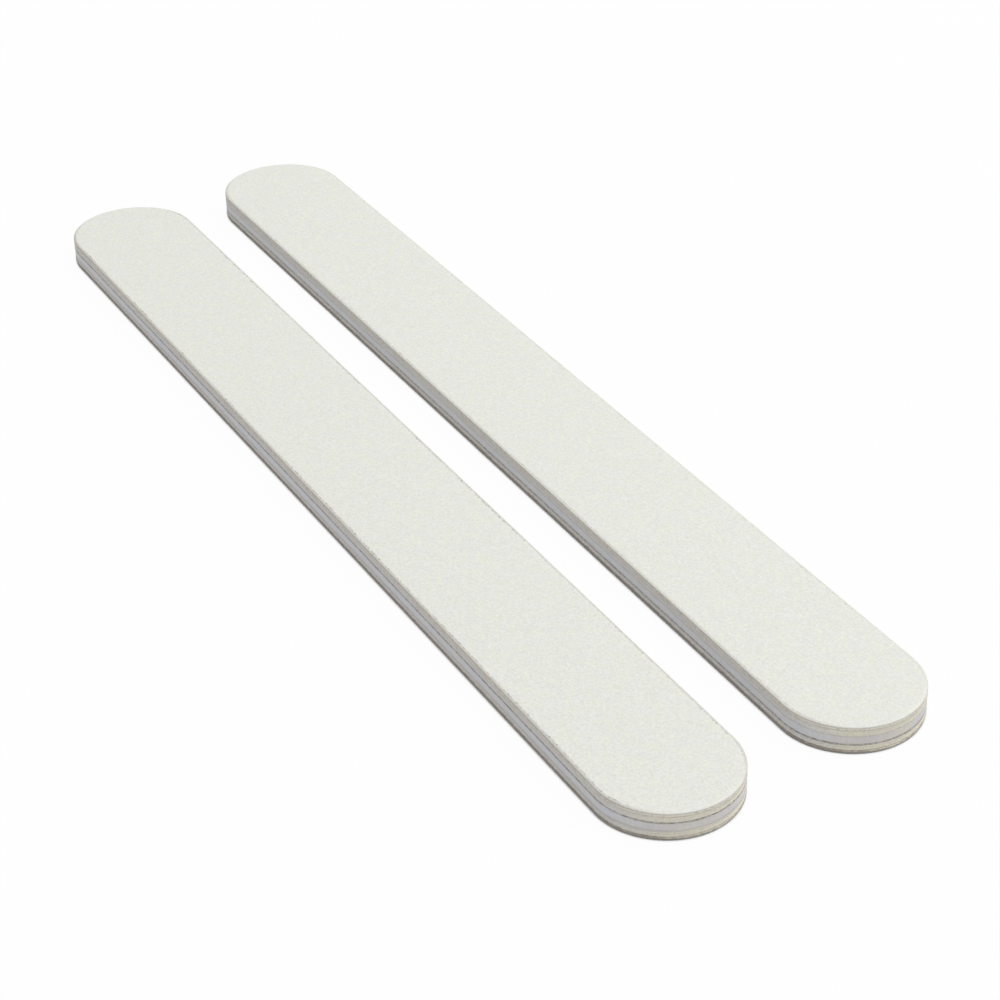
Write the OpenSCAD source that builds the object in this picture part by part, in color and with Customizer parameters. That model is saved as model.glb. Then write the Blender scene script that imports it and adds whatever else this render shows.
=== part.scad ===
// A pair of cushioned emery boards, lying side by side on a table.
// Each board is a laminate cut out with a die: an abrasive sheet, a foam cushion and a plastic core,
// with the same cushion and sheet again on the back.
// X runs along the boards, Z is up and the table is Z = 0. The origin lies between the boards.
// The left board lies with its front up. The right one is the same board, turned over.

/* [Board] */
// Length of a board, end to end
board_length = 178; // [60:1:240]
// Width of a board, which is also the diameter of its round ends
board_width = 19; // [8:0.5:40]

/* [Layers] */
// Thickness of the abrasive grain with the resin that holds it
grit_coat = 0.15; // [0.05:0.01:0.3]
// Thickness of the paper that carries the grain
backing_paper = 0.2; // [0.1:0.01:0.3]
// Thickness of the adhesive film between paper and foam
sheet_adhesive = 0.08; // [0.03:0.01:0.15]
// Thickness of the foam cushion on each face
foam_cushion = 0.9; // [0.6:0.05:3]
// Thickness of the adhesive between foam and core on the front, which shows as a dark line
front_core_adhesive = 0.14; // [0.05:0.01:0.3]
// Thickness of the adhesive between foam and core on the back
back_core_adhesive = 0.1; // [0.05:0.01:0.3]
// Thickness of the plastic core
core_plate = 1.1; // [0.5:0.05:3]

/* [Cut edge] */
// Radius of the foam's rim, where the die presses the sheet over it
rim_radius = 0.8; // [0.4:0.05:1.2]
// Angle that the rim has turned through where it meets the cut edge
rim_angle = 43; // [15:1:50]
// How far the foam springs back behind the cut edge, halfway up
foam_hollow = 0.07; // [0.02:0.01:0.15]
// How far the adhesive films stop short of the cut edge
adhesive_setback = 0.05; // [0.02:0.01:0.15]

/* [Pair] */
// Clear gap between the two boards
pair_gap = 8.4; // [1:0.1:60]
// How far the left board lies ahead of the right one
pair_stagger = 2.4; // [0:0.1:40]

/* [Hidden] */
$fn = 64;

// Depths of the layers of one face, measured in from the outer face of the grain
paper_depth = grit_coat;
adhesive_depth = paper_depth + backing_paper;
foam_depth = adhesive_depth + sheet_adhesive;
face_depth = foam_depth + foam_cushion;

// Heights in a board that lies with its front up
core_bottom = face_depth + back_core_adhesive;
core_top = core_bottom + core_plate;
board_thickness = core_top + front_core_adhesive + face_depth;

// The outline: a straight run between two half circles
end_radius = board_width / 2;
straight_length = board_length - board_width;
board_spacing = board_width + pair_gap;

// The rolled rim: every layer of the sheet follows an arc about the centre of the foam's rim
rim_width = rim_radius * sin(rim_angle);
flat_half_width = end_radius - rim_width;
rim_centre_depth = foam_depth + rim_radius;

// Depth at which a layer's arc meets the cut edge
function depth_at_cut(depth) =
    rim_centre_depth - sqrt(pow(rim_centre_depth - depth, 2) - pow(rim_width, 2));

// Radius of the arc that hollows an edge of the given height by foam_hollow
function hollow_arc_radius(height) = (pow(height / 2, 2) + pow(foam_hollow, 2)) / (2 * foam_hollow);

// Carries half a cross-section along the straight run and round both ends.
// The half lies in X >= 0, with X = 0 on the board's centre line and Y up.
module along_outline() {
    rotate([90, 0, 90])
        linear_extrude(straight_length, center = true) {
            children();
            mirror([1, 0]) children();
        }
    for (end = [0, 1])
        mirror([end, 0, 0])
            translate([straight_length / 2, 0, 0])
                rotate([0, 0, -90]) rotate_extrude(angle = 180) children();
}

// Half cross-section of everything from a depth inwards, up to another depth, under the rolled rim
module pressed_below(depth, up_to) {
    translate([0, depth]) square([flat_half_width, up_to - depth]);
    intersection() {
        translate([flat_half_width, depth]) square([rim_width, up_to - depth]);
        translate([flat_half_width, rim_centre_depth]) {
            circle(rim_centre_depth - depth);
            square([rim_width, up_to]);
        }
    }
}

// Half cross-section of one layer of the sheet
module pressed_layer(depth, thickness, setback = 0) {
    intersection() {
        difference() {
            pressed_below(depth, rim_centre_depth);
            pressed_below(depth + thickness, 2 * rim_centre_depth);
        }
        square([end_radius - setback, rim_centre_depth]);
    }
}

module grit() {
    color("ivory") along_outline() pressed_layer(0, grit_coat);
}

module paper() {
    color("floralwhite") along_outline() pressed_layer(paper_depth, backing_paper);
}

module sheet_adhesive_film() {
    color("khaki") along_outline() pressed_layer(adhesive_depth, sheet_adhesive, adhesive_setback);
}

// The foam is pinched at the rim by the rolled sheet, and its cut edge is hollow
module foam() {
    cut_height = face_depth - depth_at_cut(foam_depth);
    arc = hollow_arc_radius(cut_height);
    color("cornsilk") along_outline()
        difference() {
            pressed_below(foam_depth, face_depth);
            translate([end_radius - foam_hollow + arc, face_depth - cut_height / 2]) circle(arc);
        }
}

module core_adhesive_film(thickness) {
    along_outline() square([end_radius - adhesive_setback, thickness]);
}

module core() {
    color("lightsteelblue") translate([0, 0, core_bottom])
        along_outline() square([end_radius, core_plate]);
}

module front_core_adhesive_film() {
    color("dimgray") translate([0, 0, core_top]) core_adhesive_film(front_core_adhesive);
}

module back_core_adhesive_film() {
    color("lightgray") translate([0, 0, face_depth]) core_adhesive_film(back_core_adhesive);
}

// Puts a layer of the back face, which is modelled outer side down, on the front
module on_front() {
    translate([0, 0, board_thickness]) mirror([0, 0, 1]) children();
}

module left_board() {
    translate([pair_stagger / 2, -board_spacing / 2, 0]) children();
}

module right_board() {
    translate([-pair_stagger / 2, board_spacing / 2, board_thickness]) rotate([180, 0, 0]) children();
}

left_board() on_front() grit();  // left_front_grit
left_board() on_front() paper();  // left_front_paper
left_board() on_front() sheet_adhesive_film();  // left_front_sheet_adhesive
left_board() on_front() foam();  // left_front_foam
left_board() front_core_adhesive_film();  // left_front_core_adhesive
left_board() core();  // left_core
left_board() back_core_adhesive_film();  // left_back_core_adhesive
left_board() foam();  // left_back_foam
left_board() sheet_adhesive_film();  // left_back_sheet_adhesive
left_board() paper();  // left_back_paper
left_board() grit();  // left_back_grit

right_board() on_front() grit();  // right_front_grit
right_board() on_front() paper();  // right_front_paper
right_board() on_front() sheet_adhesive_film();  // right_front_sheet_adhesive
right_board() on_front() foam();  // right_front_foam
right_board() front_core_adhesive_film();  // right_front_core_adhesive
right_board() core();  // right_core
right_board() back_core_adhesive_film();  // right_back_core_adhesive
right_board() foam();  // right_back_foam
right_board() sheet_adhesive_film();  // right_back_sheet_adhesive
right_board() paper();  // right_back_paper
right_board() grit();  // right_back_grit
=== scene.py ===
# %% [markdown]
# # A pair of cushioned emery boards
#
# An emery board is a nail file made of thin layers: abrasive grain on paper, a foam cushion and a
# plastic core, with the same cushion and sheet again on the back. A die cuts the board out of the
# pressed stack in one stroke, so every layer shows at the edge. This lesson builds each layer as a
# mesh of its own, because the look of the board is the look of that cut edge and of the grain on top.
#
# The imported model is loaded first. It fixes where every layer lies, and nothing here moves it.

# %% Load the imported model
import math

import bpy
import numpy as np
from mathutils import Matrix, Vector


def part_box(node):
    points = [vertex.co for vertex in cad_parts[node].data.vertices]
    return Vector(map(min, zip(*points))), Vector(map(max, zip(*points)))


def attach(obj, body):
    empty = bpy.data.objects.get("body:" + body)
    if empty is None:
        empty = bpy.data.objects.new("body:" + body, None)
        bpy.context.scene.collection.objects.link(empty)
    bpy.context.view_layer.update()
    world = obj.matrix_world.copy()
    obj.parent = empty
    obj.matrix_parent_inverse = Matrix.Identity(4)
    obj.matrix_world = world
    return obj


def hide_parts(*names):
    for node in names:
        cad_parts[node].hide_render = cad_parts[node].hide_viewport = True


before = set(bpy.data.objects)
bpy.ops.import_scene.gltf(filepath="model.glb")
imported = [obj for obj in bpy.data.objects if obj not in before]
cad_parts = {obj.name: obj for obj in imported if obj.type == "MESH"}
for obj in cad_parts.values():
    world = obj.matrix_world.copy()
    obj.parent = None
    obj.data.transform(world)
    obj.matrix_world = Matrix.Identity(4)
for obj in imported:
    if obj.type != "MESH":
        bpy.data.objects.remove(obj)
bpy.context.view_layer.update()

# %% [markdown]
# ## Sizes
#
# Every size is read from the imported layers, so the looks follow the model if it changes. A layer's
# depth is counted inwards from the outer face of the grain, which is the way the stack is pressed.
# Only the rolled rim is named here, with the same two values as the model: the die presses the sheet
# down over the foam before it cuts, and the rim keeps some of that turn.

# %% Sizes of a board
MM = 0.001
core_low, core_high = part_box("left_core")
board_length = core_high.x - core_low.x
board_width = core_high.y - core_low.y
board_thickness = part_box("left_front_grit")[1].z
end_radius = board_width / 2
straight_run = board_length - board_width

rim_radius = 0.8 * MM
rim_angle = math.radians(43)
rim_width = rim_radius * math.sin(rim_angle)


def depth_of(layer):
    """Depth of a front layer's outer face, measured in from the board's top"""
    return board_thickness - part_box("left_front_" + layer)[1].z


paper_depth = depth_of("paper")
film_depth = depth_of("sheet_adhesive")
foam_depth = depth_of("foam")
face_depth = depth_of("core_adhesive")
core_depth = board_thickness - core_high.z
back_film_depth = board_thickness - core_low.z
rim_centre = foam_depth + rim_radius

BOARDS = {"left": "front", "right": "back"}
board_centre = {}
for side in BOARDS:
    low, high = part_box(side + "_core")
    board_centre[side] = ((low.x + high.x) / 2, (low.y + high.y) / 2)
print("board", [round(v / MM, 2) for v in (board_length, board_width, board_thickness)], "mm")

# %% [markdown]
# ## The camera
#
# The photograph looks down on the boards from beyond their near ends, through a long lens, so the
# boards taper only a little. The camera is placed by the point it looks at, its direction and its
# distance, which is how a photographer would set it up, and it is tilted by about a degree.

# %% Camera
PHOTO_WIDTH = 1000
focal_in_pixels = 2679
camera_azimuth = math.radians(61.58)
camera_elevation = math.radians(32.14)
camera_distance = 364.3 * MM
camera_roll = math.radians(-1.257)
looks_at = Vector((16.0 * MM, 0.5 * MM, 0))

camera = bpy.data.objects.new("camera", bpy.data.cameras.new("camera"))
bpy.context.scene.collection.objects.link(camera)
bpy.context.scene.camera = camera
camera.data.sensor_width = 36
camera.data.lens = camera.data.sensor_width * focal_in_pixels / PHOTO_WIDTH
camera.data.clip_start = 0.01
back = Vector((
    math.sin(camera_azimuth) * math.cos(camera_elevation),
    -math.cos(camera_azimuth) * math.cos(camera_elevation),
    math.sin(camera_elevation),
))
camera.location = looks_at + back * camera_distance
camera.rotation_mode = "QUATERNION"
upright = (-back).to_track_quat("-Z", "Y")
camera.rotation_quaternion = upright @ Matrix.Rotation(camera_roll, 3, "Z").to_quaternion()
print("lens", round(camera.data.lens, 1), "mm, camera at", [round(v, 4) for v in camera.location])

# %% [markdown]
# ## Light and floor
#
# In the photograph the light seems to come from a large soft source on the right, behind the boards.
# The tops are bright and their grain throws small shadows, the ends that face the camera are a little
# darker, and the long sides are darker still. An even sky gives the base level, one large window
# light the shape of the grain and the rims, and a weaker lamp beyond the near ends lifts the ends.
#
# The floor is a pale card. Towards the camera it adds its own white, so the background is white
# without more light on the boards. That white fades where the card lies hidden under an edge, so the
# boards keep their shadow and stand on something.

# %% Helpers for node trees
def add(tree, kind, inputs=None, **settings):
    """Adds a node, and feeds each input with a plain value or with another node's output"""
    node = tree.nodes.new(kind)
    for name, value in settings.items():
        setattr(node, name, value)
    for name, value in (inputs or {}).items():
        if isinstance(value, bpy.types.NodeSocket):
            tree.links.new(value, node.inputs[name])
        else:
            node.inputs[name].default_value = value
    return node


def screen_colour(red, green, blue):
    """The linear colour of a screen colour that is written with values from 0 to 255"""
    linear = []
    for value in (red, green, blue):
        share = value / 255
        linear.append(share / 12.92 if share <= 0.04045 else ((share + 0.055) / 1.055) ** 2.4)
    return (*linear, 1)


card_colour = screen_colour(225, 225, 225)
print("card colour", [round(value, 3) for value in card_colour])

# %% The sky
SKY_LEVEL = 0.62

scene = bpy.context.scene
scene.view_settings.view_transform = "Standard"
scene.world = bpy.data.worlds.new("studio")
scene.world.use_nodes = True
sky = scene.world.node_tree
sky.nodes.clear()


def seen_directly(tree):
    """1 for rays that show the background to the camera, directly or in something shiny"""
    path = add(tree, "ShaderNodeLightPath")
    seen = path.outputs["Is Camera Ray"]
    for ray in ("Is Glossy Ray", "Is Transmission Ray"):
        either = add(tree, "ShaderNodeMath", {0: seen, 1: path.outputs[ray]}, operation="MAXIMUM")
        seen = either.outputs[0]
    return seen


sky_light = add(sky, "ShaderNodeBackground", {"Color": (1, 1, 1, 1), "Strength": SKY_LEVEL})
sky_seen = add(sky, "ShaderNodeBackground", {"Color": (1, 1, 1, 1), "Strength": 1.0})
sky_mix = add(sky, "ShaderNodeMixShader",
              {0: seen_directly(sky), 1: sky_light.outputs[0], 2: sky_seen.outputs[0]})
add(sky, "ShaderNodeOutputWorld", {"Surface": sky_mix.outputs[0]})
print("sky level", SKY_LEVEL)

# %% The floor
FLOOR_SIZE = 4.0
FLOOR_GLOW = 0.97
CONTACT_REACH = 0.6 * MM
HIDDEN_CARD = 0.25
OPEN_CARD = 0.6

floor_material = bpy.data.materials.new("white_card")
floor_material.use_nodes = True
card = floor_material.node_tree
card.nodes.clear()
card_face = add(card, "ShaderNodeBsdfDiffuse", {"Color": card_colour})
card_glow = add(card, "ShaderNodeEmission", {"Color": (1, 1, 1, 1), "Strength": 1.0})
openness = add(card, "ShaderNodeAmbientOcclusion", {"Distance": CONTACT_REACH}, samples=4).outputs["AO"]
glow = add(card, "ShaderNodeMapRange",
           {"Value": openness, 1: HIDDEN_CARD, 2: OPEN_CARD, 3: 0.0, 4: FLOOR_GLOW}).outputs[0]
glow_share = add(card, "ShaderNodeMath", {0: seen_directly(card), 1: glow}, operation="MULTIPLY").outputs[0]
card_mix = add(card, "ShaderNodeMixShader",
               {0: glow_share, 1: card_face.outputs[0], 2: card_glow.outputs[0]})
add(card, "ShaderNodeOutputMaterial", {"Surface": card_mix.outputs[0]})

floor_mesh = bpy.data.meshes.new("floor")
half = FLOOR_SIZE / 2
floor_corners = [(-half, -half, 0), (half, -half, 0), (half, half, 0), (-half, half, 0)]
floor_mesh.from_pydata(floor_corners, [], [(0, 1, 2, 3)])
floor = bpy.data.objects.new("floor", floor_mesh)
floor.data.materials.append(floor_material)
scene.collection.objects.link(floor)
print("floor", FLOOR_SIZE, "m")


# %% The lamps
def soft_lamp(name, place, size, power):
    """A square lamp that faces the boards"""
    lamp = bpy.data.objects.new(name, bpy.data.lights.new(name, "AREA"))
    lamp.data.size = size
    lamp.data.energy = power
    lamp.location = place
    lamp.rotation_mode = "QUATERNION"
    lamp.rotation_quaternion = (-Vector(place)).to_track_quat("-Z", "Y")
    scene.collection.objects.link(lamp)
    print(name, power, "W")


soft_lamp("window_lamp", place=(0.05, 0.72, 0.78), size=0.6, power=5.9)
soft_lamp("end_lamp", place=(0.9, -0.05, 0.35), size=0.5, power=1.0)

# %% [markdown]
# ## The outline and a layer's mesh
#
# The outline is a straight run between two half circles. It is described by stations: each has a
# point on the board's spine and a direction outwards, so the outline at any distance in from the cut
# edge is one formula, and rings at different insets join into clean bands of quads. A layer is a
# half cross-section of (inset, depth) points that is carried round the stations. Its two open ends
# are closed like a ladder, from one long side straight across to the other.
#
# Attributes go with each point for the finishes: which way is outwards, how far along the outline and
# how far in from the cut it lies, whether it belongs to the cut edge, and whether it is on the marked
# side, which is the abrasive face of a coat and the dark glue's side of the core and the foam.

# %% Stations
def stations(step):
    """Spine points, outward directions and lengths along the outline, from the far tip round"""
    arc_steps = round(math.pi / 2 * end_radius / step)
    run_steps = round(straight_run / step)
    turn = np.linspace(0, math.pi / 2, arc_steps + 1)
    run = np.linspace(-straight_run / 2, straight_run / 2, run_steps + 1)[1:-1]
    far_arc = np.full(arc_steps + 1, -straight_run / 2)
    spine = np.concatenate([far_arc, run, -far_arc])
    outward_x = np.concatenate([-np.cos(turn), np.zeros(len(run)), np.sin(turn)])
    outward_y = np.concatenate([-np.sin(turn), -np.ones(len(run)), -np.cos(turn)])
    spine = np.concatenate([spine, spine[-2:0:-1]])
    outward = np.column_stack([
        np.concatenate([outward_x, outward_x[-2:0:-1]]),
        np.concatenate([outward_y, -outward_y[-2:0:-1]]),
    ])
    around = np.arange(len(spine)) * step
    return spine, outward, around


def rolled(depth, inset):
    """Depth of a pressed layer's face at a distance in from the cut edge"""
    run = max(rim_width - inset, 0)
    return rim_centre - math.sqrt((rim_centre - depth) ** 2 - run ** 2)


print(len(stations(MM)[0]), "stations at a step of 1 mm")


# %% A layer's mesh
def ladder(first, count):
    """Faces that close a ring of points, from one long side across to the other"""
    half_way = count // 2
    faces = [(first, first + 1, first + count - 1)]
    for k in range(1, half_way - 1):
        faces.append((first + k, first + k + 1, first + count - k - 1, first + count - k))
    faces.append((first + half_way - 1, first + half_way, first + half_way + 1))
    return faces


def layer_piece(name, side, up, section, step):
    """A closed mesh from a section of (inset, depth, cut, marked) points, on one board.
    Up says that depths are counted down from the board's top, and not up from the table."""
    spine, outward, around = stations(step)
    count = len(spine)
    rows = len(section)
    centre_x, centre_y = board_centre[side]
    insets = np.array([row[0] for row in section])[:, None]
    depths = np.array([row[1] for row in section])[:, None]
    points = np.empty((rows, count, 3))
    points[:, :, 0] = centre_x + spine + outward[:, 0] * (end_radius - insets)
    points[:, :, 1] = centre_y + outward[:, 1] * (end_radius - insets)
    points[:, :, 2] = (board_thickness - depths) if up else depths
    faces = []
    for row in range(rows - 1):
        here, below = row * count, (row + 1) * count
        for k in range(count):
            after = (k + 1) % count
            faces.append((here + k, below + k, below + after, here + after))
    faces += ladder(0, count)
    faces += [face[::-1] for face in ladder((rows - 1) * count, count)]
    if not up:
        faces = [face[::-1] for face in faces]
    mesh = bpy.data.meshes.new(name)
    mesh.from_pydata(points.reshape(-1, 3).tolist(), [], faces)
    flat_outward = np.zeros((rows, count, 3))
    flat_outward[:, :, :2] = outward
    mesh.attributes.new("outward", "FLOAT_VECTOR", "POINT").data.foreach_set("vector", flat_outward.ravel())
    mesh.attributes.new("along", "FLOAT", "POINT").data.foreach_set("value", np.tile(around, rows))
    for attribute, column in (("inset", 0), ("cut", 2), ("marked", 3)):
        values = np.repeat([float(row[column]) for row in section], count)
        mesh.attributes.new(attribute, "FLOAT", "POINT").data.foreach_set("value", values)
    mesh.shade_smooth()
    piece = bpy.data.objects.new(name, mesh)
    scene.collection.objects.link(piece)
    return piece


# %% [markdown]
# ## From a node tree to a plain mesh
#
# A modifier is evaluated again wherever the model is opened, and not every program knows node trees.
# So the evaluated shape is copied to a plain mesh and the modifiers are removed. Each piece then
# rides on its board, stands for one packed layer and takes that layer's material slot.

# %% A finished piece
def finish_piece(piece, material, side, node):
    """Turns a piece into a plain mesh with its material, and puts it in place of its node"""
    if piece.modifiers:
        graph = bpy.context.evaluated_depsgraph_get()
        plain = bpy.data.meshes.new_from_object(piece.evaluated_get(graph))
        piece.modifiers.clear()
        piece.data = plain
    piece.data.materials.clear()
    piece.data.materials.append(material)
    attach(piece, side + "_board")
    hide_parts(side + "_" + node)
    triangles = sum(len(polygon.vertices) - 2 for polygon in piece.data.polygons)
    print(piece.name, triangles, "triangles")


# %% [markdown]
# ## Geometry that repeats
#
# Thousands of grains lie on a face and thousands of foam cells open at a cut. Neither could be placed
# by hand, and a picture of them would have no depth, so two node trees make them.

# %% Helpers for geometry node trees
def socket(tree, name, kind, value=None):
    """A named input of a geometry node tree"""
    made = tree.interface.new_socket(name, in_out="INPUT", socket_type="NodeSocket" + kind)
    if value is not None:
        made.default_value = value
    return made


def named(tree, attribute, kind="FLOAT"):
    return add(tree, "GeometryNodeInputNamedAttribute", {"Name": attribute}, data_type=kind).outputs[0]


def calculate(tree, operation, first, second):
    return add(tree, "ShaderNodeMath", {0: first, 1: second}, operation=operation).outputs[0]


def scaled(tree, vector, factor):
    return add(tree, "ShaderNodeVectorMath", {0: vector, "Scale": factor}, operation="SCALE").outputs[0]


# %% [markdown]
# ## Grain on the abrasive face
#
# Abrasive grain is crushed mineral: sharp chips of many sizes that are dropped on wet resin and sink
# halfway in. The tree presses the coat into gentle relief, scatters points over the face, and puts
# an eight-sided crystal on each, turned and sized at random. Eight faces are enough for a chip that
# is at most a quarter of a millimetre wide, and they keep a coat light. The chips are sunk so deep
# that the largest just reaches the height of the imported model.

# %% Node tree: the abrasive coat
DARKEST_GRAIN = 0.1
PALEST_GRAIN = 1.0


def abrasive_tree():
    """Relief on the abrasive face, and grains half sunk in it"""
    tree = bpy.data.node_groups.new("abrasive_coat", "GeometryNodeTree")
    tree.interface.new_socket("Geometry", in_out="INPUT", socket_type="NodeSocketGeometry")
    tree.interface.new_socket("Geometry", in_out="OUTPUT", socket_type="NodeSocketGeometry")
    socket(tree, "Relief Height", "Float", 0.03 * MM)
    socket(tree, "Relief Size", "Float", 0.9 * MM)
    socket(tree, "Grains per Square Metre", "Float", 4.4e6)
    socket(tree, "Smallest Grain", "Float", 0.09 * MM)
    socket(tree, "Largest Grain", "Float", 0.25 * MM)
    socket(tree, "Sunk", "Float", 0.07 * MM)
    socket(tree, "Seed", "Int", 1)
    socket(tree, "Material", "Material")
    given = add(tree, "NodeGroupInput").outputs
    face = named(tree, "marked")
    seed_stride = 7.31
    relief_top = 0.8
    seed_shift = calculate(tree, "MULTIPLY", given["Seed"], seed_stride)
    relief_scale = calculate(tree, "DIVIDE", 1.0, given["Relief Size"])
    relief = add(tree, "ShaderNodeTexNoise",
                 {"W": seed_shift, "Scale": relief_scale, "Detail": 3.0, "Roughness": 0.62},
                 noise_dimensions="4D").outputs[0]
    below_top = calculate(tree, "SUBTRACT", relief, relief_top)
    press = calculate(tree, "MULTIPLY", below_top, given["Relief Height"])
    press = calculate(tree, "MULTIPLY", press, face)
    normal = add(tree, "GeometryNodeInputNormal").outputs[0]
    pressed_in = scaled(tree, normal, press)
    coat = add(tree, "GeometryNodeSetPosition", {"Geometry": given["Geometry"], "Offset": pressed_in})
    density = calculate(tree, "MULTIPLY", given["Grains per Square Metre"], face)
    scatter = add(tree, "GeometryNodeDistributePointsOnFaces",
                  {"Mesh": coat.outputs[0], "Density": density, "Seed": given["Seed"]},
                  distribute_method="RANDOM")
    sink = calculate(tree, "MULTIPLY", given["Sunk"], -1.0)
    sunk = scaled(tree, scatter.outputs["Normal"], sink)
    seats = add(tree, "GeometryNodeSetPosition", {"Geometry": scatter.outputs["Points"], "Offset": sunk})
    crystal = add(tree, "GeometryNodeMeshUVSphere", {"Segments": 4, "Rings": 2, "Radius": 0.5})
    full_turn = (math.tau, math.tau, math.tau)
    turn = add(tree, "FunctionNodeRandomValue", {0: (0, 0, 0), 1: full_turn, "Seed": given["Seed"]},
               data_type="FLOAT_VECTOR")
    size = add(tree, "FunctionNodeRandomValue", {"Seed": given["Seed"]}, data_type="FLOAT_VECTOR")
    for end, bound in ((0, "Smallest Grain"), (1, "Largest Grain")):
        tree.links.new(given[bound], size.inputs[end])
    grains = add(tree, "GeometryNodeInstanceOnPoints",
                 {"Points": seats.outputs[0], "Instance": crystal.outputs["Mesh"],
                  "Rotation": turn.outputs[0], "Scale": size.outputs[0]})
    tone = add(tree, "FunctionNodeRandomValue",
               {2: DARKEST_GRAIN, 3: PALEST_GRAIN, "Seed": given["Seed"]}, data_type="FLOAT")
    toned = add(tree, "GeometryNodeStoreNamedAttribute",
                {"Geometry": grains.outputs[0], "Name": "grain_tone", "Value": tone.outputs[1]},
                data_type="FLOAT", domain="INSTANCE")
    solid = add(tree, "GeometryNodeRealizeInstances", {"Geometry": toned.outputs[0]})
    facets = add(tree, "GeometryNodeSetShadeSmooth", {"Geometry": solid.outputs[0], "Shade Smooth": False})
    joined = add(tree, "GeometryNodeJoinGeometry")
    tree.links.new(facets.outputs[0], joined.inputs[0])
    tree.links.new(coat.outputs[0], joined.inputs[0])
    painted = add(tree, "GeometryNodeSetMaterial",
                  {"Geometry": joined.outputs[0], "Material": given["Material"]})
    add(tree, "NodeGroupOutput", {0: painted.outputs[0]})
    return tree


# %% [markdown]
# ## Cups and waves in a cut edge
#
# A blade tears foam cells open and leaves paper and glue a little ragged. Sculpting that along two
# outlines of nearly 400 mm would take very long, so the tree moves the points of a cut edge inwards: by
# small round cups from a cell pattern, and by a slow wave from noise. It only ever moves them
# inwards, so a layer never grows past its outline.

# %% Node tree: the cut edge
def cut_edge_tree():
    """Cups and waviness that are eaten into the points marked as cut"""
    tree = bpy.data.node_groups.new("cut_edge", "GeometryNodeTree")
    tree.interface.new_socket("Geometry", in_out="INPUT", socket_type="NodeSocketGeometry")
    tree.interface.new_socket("Geometry", in_out="OUTPUT", socket_type="NodeSocketGeometry")
    socket(tree, "Cup Size", "Float", 0.3 * MM)
    socket(tree, "Cup Depth", "Float", 0.05 * MM)
    socket(tree, "Wave Size", "Float", 2.0 * MM)
    socket(tree, "Wave Depth", "Float", 0.03 * MM)
    socket(tree, "Seed", "Int", 1)
    socket(tree, "Material", "Material")
    given = add(tree, "NodeGroupInput").outputs
    seed_stride = 3.17
    cup_floor = 0.15
    cup_rim = 0.65
    seed_shift = calculate(tree, "MULTIPLY", given["Seed"], seed_stride)
    cells_per_metre = calculate(tree, "DIVIDE", 1.0, given["Cup Size"])
    waves_per_metre = calculate(tree, "DIVIDE", 1.0, given["Wave Size"])
    cells = add(tree, "ShaderNodeTexVoronoi", {"W": seed_shift, "Scale": cells_per_metre},
                voronoi_dimensions="4D", feature="F1").outputs["Distance"]
    cup = add(tree, "ShaderNodeMapRange", {"Value": cells, 1: cup_floor, 2: cup_rim, 3: 1.0, 4: 0.0},
              interpolation_type="SMOOTHSTEP").outputs[0]
    waves = add(tree, "ShaderNodeTexNoise", {"W": seed_shift, "Scale": waves_per_metre, "Detail": 3.0},
                noise_dimensions="4D").outputs[0]
    cups_eaten = calculate(tree, "MULTIPLY", cup, given["Cup Depth"])
    waves_eaten = calculate(tree, "MULTIPLY", waves, given["Wave Depth"])
    eaten = calculate(tree, "ADD", cups_eaten, waves_eaten)
    on_cut = calculate(tree, "MULTIPLY", eaten, named(tree, "cut"))
    inwards = calculate(tree, "MULTIPLY", on_cut, -1.0)
    shift = scaled(tree, named(tree, "outward", "FLOAT_VECTOR"), inwards)
    moved = add(tree, "GeometryNodeSetPosition", {"Geometry": given["Geometry"], "Offset": shift})
    whole = add(tree, "GeometryNodeRealizeInstances", {"Geometry": moved.outputs[0]})
    painted = add(tree, "GeometryNodeSetMaterial",
                  {"Geometry": whole.outputs[0], "Material": given["Material"]})
    add(tree, "NodeGroupOutput", {0: painted.outputs[0]})
    return tree


def use_tree(piece, tree, **values):
    """Adds a tree to a piece. Names are written with underscores, and each is set by its identifier."""
    modifier = piece.modifiers.new(tree.name, "NODES")
    modifier.node_group = tree
    inputs = [item for item in tree.interface.items_tree if item.in_out == "INPUT"]
    identifiers = {item.name: item.identifier for item in inputs}
    for name, value in values.items():
        modifier[identifiers[name.replace("_", " ")]] = value


abrasive_coat = abrasive_tree()
cut_edge = cut_edge_tree()
print("node trees", abrasive_coat.name, cut_edge.name)

# %% [markdown]
# ## Finishes
#
# Every finish is one Principled shader whose colour and gloss are fed by noise. A painted picture
# would need an unrolled map of each surface and would be sharp at one distance only, while noise has
# detail at any distance. All patterns read object coordinates in metres, so a scale of one over a
# size gives that size.

# %% Helpers for finishes
def new_finish(name, **values):
    """A material with one Principled shader, whose constant values are set on its own sockets"""
    material = bpy.data.materials.new(name)
    material.use_nodes = True
    tree = material.node_tree
    tree.nodes.clear()
    constants = {key.replace("_", " "): value for key, value in values.items()}
    shader = add(tree, "ShaderNodeBsdfPrincipled", constants)
    add(tree, "ShaderNodeOutputMaterial", {"Surface": shader.outputs[0]})
    print("finish", name)
    return material, tree, shader


def noise(tree, size, detail=2.0, roughness=0.5):
    """Noise from 0 to 1 with a grain of the given size in metres"""
    place = add(tree, "ShaderNodeTexCoord").outputs["Object"]
    return add(tree, "ShaderNodeTexNoise",
               {"Vector": place, "Scale": 1 / size, "Detail": detail, "Roughness": roughness}).outputs[0]


def spread(tree, value, low, high, to_low=0.0, to_high=1.0):
    """Stretches a value's range from low and high to two others"""
    made = add(tree, "ShaderNodeMapRange", {"Value": value, 1: low, 2: high, 3: to_low, 4: to_high})
    return made.outputs[0]


def blend_colours(tree, factor, first, second):
    return add(tree, "ShaderNodeMix", {0: factor, 6: first, 7: second}, data_type="RGBA").outputs[2]


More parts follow.
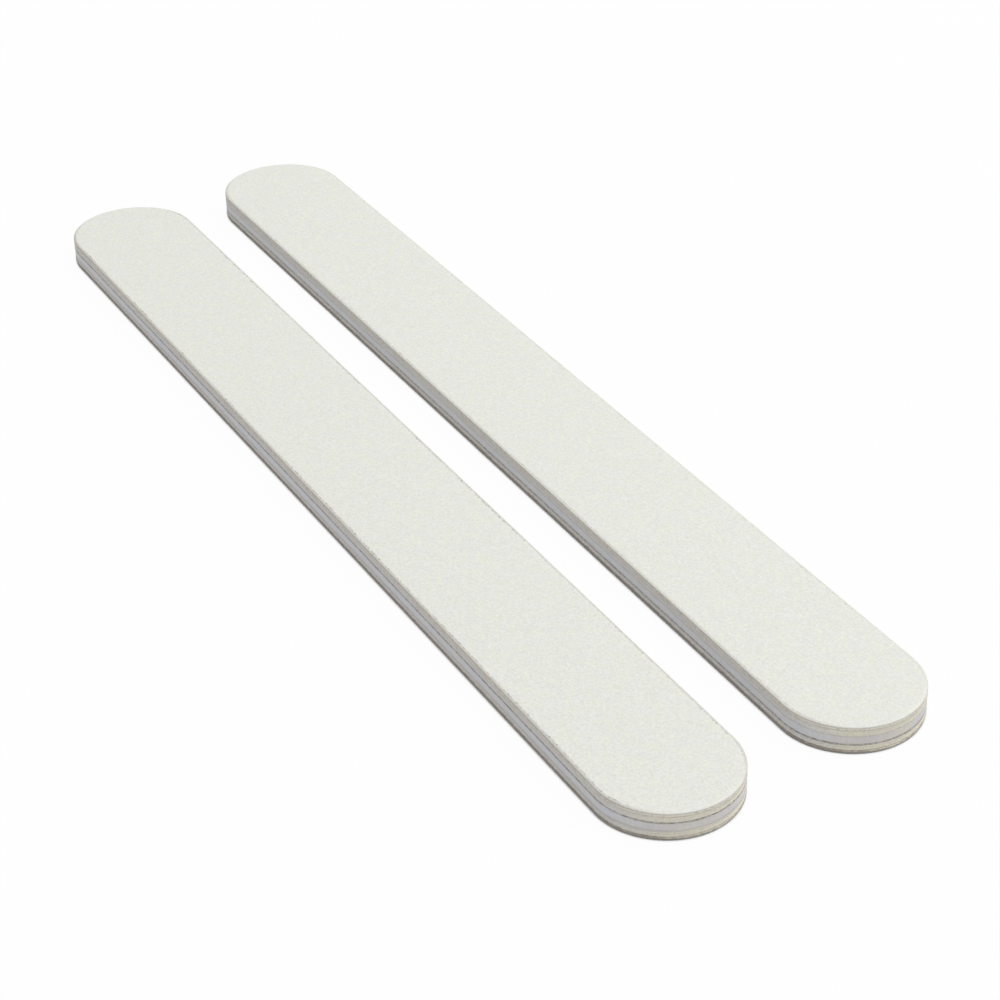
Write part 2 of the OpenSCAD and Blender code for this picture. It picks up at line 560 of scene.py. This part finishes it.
def bump(tree, shader, height, distance, strength=1.0):
    made = add(tree, "ShaderNodeBump", {"Height": height, "Distance": distance, "Strength": strength})
    tree.links.new(made.outputs[0], shader.inputs["Normal"])


def attribute_value(tree, name):
    return add(tree, "ShaderNodeAttribute", attribute_name=name).outputs["Fac"]


def sideways(tree):
    """0 at a board's tips and 1 on its long sides"""
    outward = add(tree, "ShaderNodeAttribute", attribute_name="outward").outputs["Vector"]
    across = add(tree, "ShaderNodeSeparateXYZ", {0: outward}).outputs[1]
    return calculate(tree, "ABSOLUTE", across, 0.0)


def height_above_table(tree):
    place = add(tree, "ShaderNodeTexCoord").outputs["Object"]
    return add(tree, "ShaderNodeSeparateXYZ", {0: place}).outputs[2]


finishes = {}

# %% [markdown]
# ## Painted shade along the lower edge
#
# The lowest half millimetre of a board is its darkest line, and it is thicker on the long sides,
# which face away from the light, than at the tips. It is shadow under the rolled rims. One picture can't
# tell how much of it is shadow and how much is dust from the table. Here the lamps give a part of it, and
# painted shade, a dark tint that fades with height, gives the rest. Noise in its upper limit keeps it
# from ending in a ruled line.

# %% Painted shade near the table
# Painted shade near the table: where it is full, where it ends at the tips, how much higher it reaches on
# the long sides, its wander and its strength.
LOW_SHADE_FULL = 0.15 * MM
LOW_SHADE_ENDS = 0.45 * MM
LOW_SHADE_RISE = 0.35 * MM
LOW_SHADE_WANDER = 0.12 * MM
LOW_SHADE_STRENGTH = 0.62


def with_painted_low_shade(tree, colour):
    """Paints shade on what lies close to the table, higher up on the long sides than at the tips"""
    uneven = noise(tree, 0.8 * MM, 4.0, 0.65)
    wander = spread(tree, uneven, 0.3, 0.7, -LOW_SHADE_WANDER, LOW_SHADE_WANDER)
    rise = calculate(tree, "MULTIPLY", sideways(tree), -LOW_SHADE_RISE)
    level = calculate(tree, "ADD", calculate(tree, "ADD", height_above_table(tree), wander), rise)
    shade_amount = spread(tree, level, LOW_SHADE_ENDS, LOW_SHADE_FULL, 0.0, LOW_SHADE_STRENGTH)
    return blend_colours(tree, shade_amount, colour, screen_colour(108, 99, 90))


# Prints the height where the painted shade near the table ends at the tips.
print("painted shade ends", LOW_SHADE_ENDS / MM, "mm up at the tips")

# %% [markdown]
# ## Finish of the abrasive face
#
# The coat is ivory, mottled very weakly with yellow green and lilac, and speckled at the size of a
# grain. The grains themselves are made of mesh, so the finish only gives each its own tone and
# gloss, and a few of them sparkle. On the long sides the rim is painted greyer outside a broken
# brown line: partly painted shade, because the rolled rim turns away from the light, and partly a
# rim that carries less grain. How far in a point lies is an attribute of the coat, so the rim needs
# no mesh of its own.

# %% The abrasive face
RIM_LINE = 0.40 * MM
RIM_BARE_AND_SHADED = 0.30 * MM
RIM_WANDER = 0.06 * MM


def abrasive_finish(name, bareness_and_shade):
    """Bareness and shade, from 0 to 1, says how grey the rims of the long sides are painted, partly as
    painted shade and partly for less grain
    """
    material, tree, shader = new_finish(name)
    patches = spread(tree, noise(tree, 2.0 * MM, 3.0, 0.6), 0.35, 0.65)
    ground = blend_colours(tree, patches, screen_colour(230, 231, 219), screen_colour(229, 229, 226))
    specks = spread(tree, noise(tree, 0.32 * MM, 3.0, 0.7), 0.35, 0.65)
    speckle = blend_colours(tree, specks, screen_colour(180, 181, 170), screen_colour(255, 255, 250))
    ground = blend_colours(tree, 0.2, ground, speckle)
    shift = spread(tree, noise(tree, 0.5 * MM, 3.0), 0.3, 0.7, -RIM_WANDER, RIM_WANDER)
    wander = calculate(tree, "ADD", attribute_value(tree, "inset"), shift)
    # Painted shade and less grain: the rims of the long sides are painted greyer, as a rolled rim turns
    # away from the light.
    on_sides = spread(tree, sideways(tree), 0.6, 0.95, 0.0, bareness_and_shade)
    bare_and_shaded = calculate(tree, "MULTIPLY", spread(tree, wander, RIM_LINE, RIM_BARE_AND_SHADED), on_sides)
    rim = blend_colours(tree, specks, screen_colour(198, 194, 186), screen_colour(218, 216, 210))
    ground = blend_colours(tree, bare_and_shaded, ground, rim)
    from_line = calculate(tree, "ABSOLUTE", calculate(tree, "SUBTRACT", wander, RIM_LINE), 0.0)
    line = spread(tree, from_line, 0.09 * MM, 0.03 * MM)
    dots = spread(tree, noise(tree, 0.45 * MM, 4.0, 0.7), 0.46, 0.62)
    stretches = spread(tree, noise(tree, 9.0 * MM, 3.0), 0.42, 0.6, 0.12, 1.0)
    line = calculate(tree, "MULTIPLY", calculate(tree, "MULTIPLY", line, dots), stretches)
    line = calculate(tree, "MULTIPLY", line, on_sides)
    ground = blend_colours(tree, line, ground, screen_colour(118, 106, 94))
    broken = calculate(tree, "MULTIPLY", attribute_value(tree, "cut"), 0.45)
    # The cut edge is browner, and painted shade darkens the coat near the table.
    ground = with_painted_low_shade(tree, blend_colours(tree, broken, ground, screen_colour(160, 150, 138)))
    tone = attribute_value(tree, "grain_tone")
    paleness = spread(tree, tone, DARKEST_GRAIN, PALEST_GRAIN)
    grain = blend_colours(tree, paleness, screen_colour(205, 205, 192), screen_colour(252, 252, 247))
    is_grain = calculate(tree, "GREATER_THAN", tone, DARKEST_GRAIN / 2)
    tree.links.new(blend_colours(tree, is_grain, ground, grain), shader.inputs["Base Color"])
    dull = spread(tree, tone, DARKEST_GRAIN, PALEST_GRAIN, 0.6, 0.16)
    rough = add(tree, "ShaderNodeMix", {0: is_grain, 2: 0.7, 3: dull}, data_type="FLOAT").outputs[0]
    tree.links.new(rough, shader.inputs["Roughness"])
    bump(tree, shader, noise(tree, 0.15 * MM, 3.0, 0.75), 0.035 * MM, 0.8)
    return material


finishes["front_grit"] = abrasive_finish("ivory_grain_front", bareness_and_shade=1.0)
finishes["back_grit"] = abrasive_finish("ivory_grain_back", bareness_and_shade=0.5)

# %% [markdown]
# ## Finish of the foam
#
# Cut foam is matt and granular, because each open cell is a small shadow. It is painted cream at
# the tips, as painted light, and greyer along the sides, as painted shade, on the one foam, and
# dirty where it meets the dark glue. Its larger cups are in the mesh. The finish adds the cells
# that are too small for that.

# %% Smudges and foam
def smudged(tree, colour, dark):
    """Darkens a layer unevenly along its marked side, where glue was squeezed out and took up dust"""
    patches = spread(tree, noise(tree, 0.7 * MM, 4.0, 0.7), 0.42, 0.62, 0.15, 1.0)
    smudge = calculate(tree, "MULTIPLY", attribute_value(tree, "marked"), patches)
    return blend_colours(tree, smudge, colour, dark)


def foam_finish():
    material, tree, shader = new_finish("cream_foam", Roughness=0.85)
    clouds = spread(tree, noise(tree, 1.4 * MM, 3.0), 0.3, 0.7)
    # Painted light and shade: the tips, which face the light, are tinted warmer, and the long sides, which
    # face away, greyer.
    lit_tip_tint = blend_colours(tree, clouds, screen_colour(229, 226, 206), screen_colour(224, 218, 207))
    shaded_side_tint = blend_colours(tree, clouds, screen_colour(223, 223, 220), screen_colour(221, 217, 213))
    body = blend_colours(tree, spread(tree, sideways(tree), 0.55, 0.95), lit_tip_tint, shaded_side_tint)
    cells = spread(tree, noise(tree, 0.2 * MM, 2.0, 0.6), 0.35, 0.65)
    shaded = blend_colours(tree, 0.22, body, screen_colour(120, 110, 96))
    grainy = blend_colours(tree, cells, shaded, body)
    # Glue smudges, then painted shade near the table.
    final_colour = with_painted_low_shade(tree, smudged(tree, grainy, screen_colour(146, 140, 132)))
    tree.links.new(final_colour, shader.inputs["Base Color"])
    bump(tree, shader, noise(tree, 0.09 * MM, 2.0, 0.6), 0.02 * MM, 0.6)
    return material


finishes["foam_cushion"] = foam_finish()

# %% [markdown]
# ## Finish of the backing paper
#
# The cut edge of heavy paper shows short fibres and holds dust. Fine noise between two creams gives
# the fibres, and coarser noise the dusty patches.

# %% Paper
def paper_finish():
    material, tree, shader = new_finish("cream_paper", Roughness=0.8)
    fibres = spread(tree, noise(tree, 0.12 * MM, 3.0, 0.7), 0.3, 0.7)
    dust = spread(tree, noise(tree, 0.5 * MM, 4.0, 0.7), 0.5, 0.7, 0.0, 0.7)
    paper = blend_colours(tree, fibres, screen_colour(220, 215, 202), screen_colour(235, 231, 219))
    dusty = blend_colours(tree, dust, paper, screen_colour(170, 158, 144))
    # Painted shade near the table over the dusty paper.
    tree.links.new(with_painted_low_shade(tree, dusty), shader.inputs["Base Color"])
    bump(tree, shader, fibres, 0.015 * MM, 0.5)
    return material


finishes["backing_paper"] = paper_finish()

# %% [markdown]
# ## Finish of the plastic core
#
# The core is a pale grey plastic. It is painted with a blue cast on the long sides, as painted shade,
# and warmer at the tips, as painted light. A die leaves faint strokes across a cut plastic edge. They
# must follow the outline round the tips, so they read the length along the outline, which is an
# attribute of the layer, and not a direction in space.

# %% Core
def core_finish():
    material, tree, shader = new_finish("blue_grey_core", Roughness=0.5)
    along = attribute_value(tree, "along")
    up_the_cut = calculate(tree, "MULTIPLY", height_above_table(tree), 0.25)
    strokes_at = add(tree, "ShaderNodeCombineXYZ", {"X": along, "Z": up_the_cut}).outputs[0]
    stroke_noise = add(tree, "ShaderNodeTexNoise",
                       {"Vector": strokes_at, "Scale": 1 / (0.45 * MM), "Detail": 3.0, "Roughness": 0.6})
    strokes = stroke_noise.outputs[0]
    clouds = spread(tree, noise(tree, 5.0 * MM, 3.0), 0.35, 0.65)
    # Painted light and shade: the tips are tinted warmer, and the long sides, which face away from the
    # light, bluer.
    lit_tip_tint = blend_colours(tree, clouds, screen_colour(205, 202, 203), screen_colour(214, 209, 201))
    shaded_side_tint = blend_colours(tree, clouds, screen_colour(212, 214, 219), screen_colour(216, 215, 216))
    plastic = blend_colours(tree, spread(tree, sideways(tree), 0.5, 0.95), lit_tip_tint, shaded_side_tint)
    stroked = spread(tree, strokes, 0.35, 0.7, 0.0, 0.18)
    cut_plastic = blend_colours(tree, stroked, plastic, screen_colour(150, 150, 156))
    final_colour = smudged(tree, cut_plastic, screen_colour(152, 150, 148))
    tree.links.new(final_colour, shader.inputs["Base Color"])
    bump(tree, shader, strokes, 0.02 * MM, 0.5)
    return material


finishes["plastic_core"] = core_finish()

# %% [markdown]
# ## Finish of the adhesive films
#
# Three glues show as hairlines. One function makes them all: a light and a dark colour, and noise
# that decides where the glue has picked up dust. The glue on the front of the core is the darkest,
# and it is broken into dots and dashes.

# %% Adhesive films
def film_finish(name, light, dark, dots):
    """An adhesive film, whose cut is dark where it has picked up dust"""
    material, tree, shader = new_finish(name, Roughness=0.5)
    spots = spread(tree, noise(tree, dots, 3.0, 0.6), 0.4, 0.6)
    # Glue spots, then painted shade near the table.
    tree.links.new(with_painted_low_shade(tree, blend_colours(tree, spots, light, dark)), shader.inputs["Base Color"])
    bump(tree, shader, spots, 0.02 * MM, 0.5)
    return material


finishes["sheet_adhesive"] = film_finish("cream_film", screen_colour(220, 208, 178),
                                         screen_colour(196, 182, 154), dots=0.6 * MM)
finishes["dark_core_adhesive"] = film_finish("dark_glue", screen_colour(206, 202, 194),
                                             screen_colour(128, 123, 115), dots=0.34 * MM)
finishes["clear_core_adhesive"] = film_finish("clear_glue", screen_colour(216, 213, 206),
                                              screen_colour(204, 200, 192), dots=0.5 * MM)

# %% [markdown]
# ## The layers
#
# Each section below is written as the layer lies: from the middle of its outer face to the rim, down
# the cut and back along its inner face. The left board lies with its front up and the right one is
# turned over, so each of the four sheets has a note of whether it faces up, and a seed of its own.
# Only the coat's face needs rows all the way in. What lies inside starts a short way behind the cut.

# %% The four sheets
FACE_BELOW_TIPS = 0.05 * MM
FACE_STEP = 0.42 * MM
EDGE_STEP = 0.16 * MM
EDGE_BAND = 2 * MM
RIM_INSETS = [rim_width * share for share in (1.0, 0.75, 0.5, 0.25, 0.0)]

sheets = []
for side, top_face in BOARDS.items():
    for face in ("front", "back"):
        sheets.append((side, face, face == top_face, len(sheets) + 1))
core_seed = {"left": 2, "right": 4}
print("sheets", [(side, face, "up" if up else "down") for side, face, up, seed in sheets])

# %% [markdown]
# ## The coats
#
# The coat is a thin skin that follows the flat face and then the rolled rim. Its section could be
# swept with a curve, but rows of points at known insets let the mesh carry the marks that the grain
# and the rim need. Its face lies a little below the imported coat's, and the tips of the grains make
# up the rest. The outermost row carries no grain, so that few chips stand past the cut.

# %% Coats with grain
def grit_section():
    """The coat's outer face in full, its broken edge, and its inner face"""
    middle_gap = FACE_STEP / 2
    face_rows = round((end_radius - middle_gap - rim_width) / FACE_STEP)
    points = []
    for inset in np.linspace(end_radius - middle_gap, rim_width, face_rows + 1):
        points.append((inset, FACE_BELOW_TIPS, 0, 1))
    for inset in RIM_INSETS[1:]:
        points.append((inset, rolled(FACE_BELOW_TIPS, inset), 0, 1))
    points[-2] = (*points[-2][:2], 0, 0.6)
    points[-1] = (*points[-1][:2], 0.6, 0)
    middle = (rolled(FACE_BELOW_TIPS, 0) + rolled(paper_depth, 0)) / 2
    points.append((0, middle, 1, 0))
    points.append((0, rolled(paper_depth, 0), 0.6, 0))
    for inset in reversed(RIM_INSETS[:-1]):
        points.append((inset, rolled(paper_depth, inset), 0, 0))
    return points


for side, face, up, seed in sheets:
    grit = layer_piece(f"{side}_{face}_coat_with_grain", side, up, grit_section(), FACE_STEP)
    use_tree(grit, cut_edge, Cup_Size=0.45 * MM, Cup_Depth=0.05 * MM,
             Wave_Size=1.2 * MM, Wave_Depth=0.05 * MM, Seed=seed)
    use_tree(grit, abrasive_coat, Seed=seed)
    finish_piece(grit, finishes[face + "_grit"], side, f"{face}_grit")

# %% [markdown]
# ## Paper and the film under it
#
# Both are pressed over the foam's rim like the coat, at their own depths, so one function writes
# their sections. The film stops short of the cut, which leaves a fine groove under the paper.

# %% Backing sheets and tacky films
FILM_SETBACK = 0.05 * MM


def pressed_section(outer, inner, setback=0.0, cut_rows=3):
    """Section of one layer of the pressed sheet, between two depths"""
    insets = [setback + inset * (1 - setback / rim_width) for inset in RIM_INSETS]
    top = rolled(outer, setback)
    bottom = rolled(inner, setback)
    points = [(EDGE_BAND, outer, 0, 0)]
    points += [(inset, rolled(outer, inset), 0, 0) for inset in insets]
    points += [(setback, top + (bottom - top) * k / cut_rows, 1, 0) for k in range(1, cut_rows)]
    points += [(inset, rolled(inner, inset), 0, 0) for inset in reversed(insets)]
    points.append((EDGE_BAND, inner, 0, 0))
    return points


for side, face, up, seed in sheets:
    paper_section = pressed_section(paper_depth, film_depth)
    paper = layer_piece(f"{side}_{face}_backing_sheet", side, up, paper_section, EDGE_STEP)
    use_tree(paper, cut_edge, Cup_Size=0.2 * MM, Cup_Depth=0.03 * MM, Wave_Depth=0.03 * MM, Seed=seed + 10)
    finish_piece(paper, finishes["backing_paper"], side, f"{face}_paper")

    film_section = pressed_section(film_depth, foam_depth, FILM_SETBACK, cut_rows=2)
    film = layer_piece(f"{side}_{face}_tacky_film", side, up, film_section, EDGE_STEP)
    finish_piece(film, finishes["sheet_adhesive"], side, f"{face}_sheet_adhesive")

# %% [markdown]
# ## Foam pads
#
# The foam is the one soft layer. It is crushed under the rolled sheet, glued flat to the core, and
# springs back behind the cut between the two, so its edge is a shallow hollow. Glue holds both of
# its faces and only the cut is free, so a parabola stands in for a cloth simulation here.

# %% Foam pads
FOAM_HOLLOW = 0.07 * MM
FOAM_ROWS = 9


def foam_section(mark):
    """The foam's crushed rim and its hollow cut. Mark is 1 where the dark glue lies under it."""
    top = rolled(foam_depth, 0)
    points = [(EDGE_BAND, foam_depth, 0, 0)]
    points += [(inset, rolled(foam_depth, inset), 0, 0) for inset in RIM_INSETS[:-1]]
    for k in range(FOAM_ROWS + 1):
        share = k / FOAM_ROWS
        hollow = FOAM_HOLLOW * 4 * share * (1 - share)
        cut = min(1, 4 * share, 4 * (1 - share))
        points.append((hollow, top + (face_depth - top) * share, cut, mark if k == FOAM_ROWS else 0))
    points.append((EDGE_BAND, face_depth, 0, 0))
    return points


for side, face, up, seed in sheets:
    foam = layer_piece(f"{side}_{face}_foam_pad", side, up, foam_section(int(face == "front")), EDGE_STEP)
    use_tree(foam, cut_edge, Cup_Size=0.3 * MM, Cup_Depth=0.07 * MM, Wave_Depth=0.03 * MM, Seed=seed + 20)
    finish_piece(foam, finishes["foam_cushion"], side, f"{face}_foam")

# %% [markdown]
# ## The core and its two glue lines
#
# These three are flat layers with a square cut. The core is stiff and is cut clean, so its cups are
# shallow. The dark glue's line is ragged in the photograph, as if the glue had been squeezed out and
# torn, so its cups are deep. The clear glue on the other side ends nearly flush and all but
# disappears.

# %% Core plates and glue lines
GLUE_SETBACK = 0.02 * MM
CLEAR_SETBACK = 0.01 * MM
clear_depth = board_thickness - face_depth


def plate_section(outer, inner, setback=0.0, rows=4, mark=0):
    """A flat layer with a square cut. Mark is 1 where the dark glue lies on it."""
    points = [(EDGE_BAND, outer, 0, mark)]
    for k in range(rows + 1):
        cut = 0 if k in (0, rows) else 1
        points.append((setback, outer + (inner - outer) * k / rows, cut, 0 if k else mark))
    points.append((EDGE_BAND, inner, 0, 0))
    return points


for side, top_face in BOARDS.items():
    up = top_face == "front"
    seed = core_seed[side]
    glue_section = plate_section(face_depth, core_depth, GLUE_SETBACK)
    glue = layer_piece(side + "_dark_glue_line", side, up, glue_section, EDGE_STEP)
    use_tree(glue, cut_edge, Cup_Size=0.5 * MM, Cup_Depth=0.07 * MM, Wave_Depth=0.04 * MM, Seed=seed + 30)
    finish_piece(glue, finishes["dark_core_adhesive"], side, "front_core_adhesive")

    core_section = plate_section(core_depth, back_film_depth, rows=6, mark=1)
    plate = layer_piece(side + "_core_plate", side, up, core_section, EDGE_STEP)
    use_tree(plate, cut_edge, Cup_Size=0.6 * MM, Cup_Depth=0.01 * MM, Wave_Depth=0.03 * MM, Seed=seed + 40)
    finish_piece(plate, finishes["plastic_core"], side, "core")

    clear_section = plate_section(back_film_depth, clear_depth, CLEAR_SETBACK)
    clear = layer_piece(side + "_clear_glue_line", side, up, clear_section, EDGE_STEP)
    use_tree(clear, cut_edge, Cup_Size=0.5 * MM, Cup_Depth=0.02 * MM, Wave_Depth=0.03 * MM, Seed=seed + 50)
    finish_piece(clear, finishes["clear_core_adhesive"], side, "back_core_adhesive")

# %% [markdown]
# ## The last step
#
# The visual model keeps to the imported model's box, apart from grains on the rims that stand a few
# hundredths of a millimetre past it.

# %% Update the scene, and finish
bpy.context.view_layer.update()
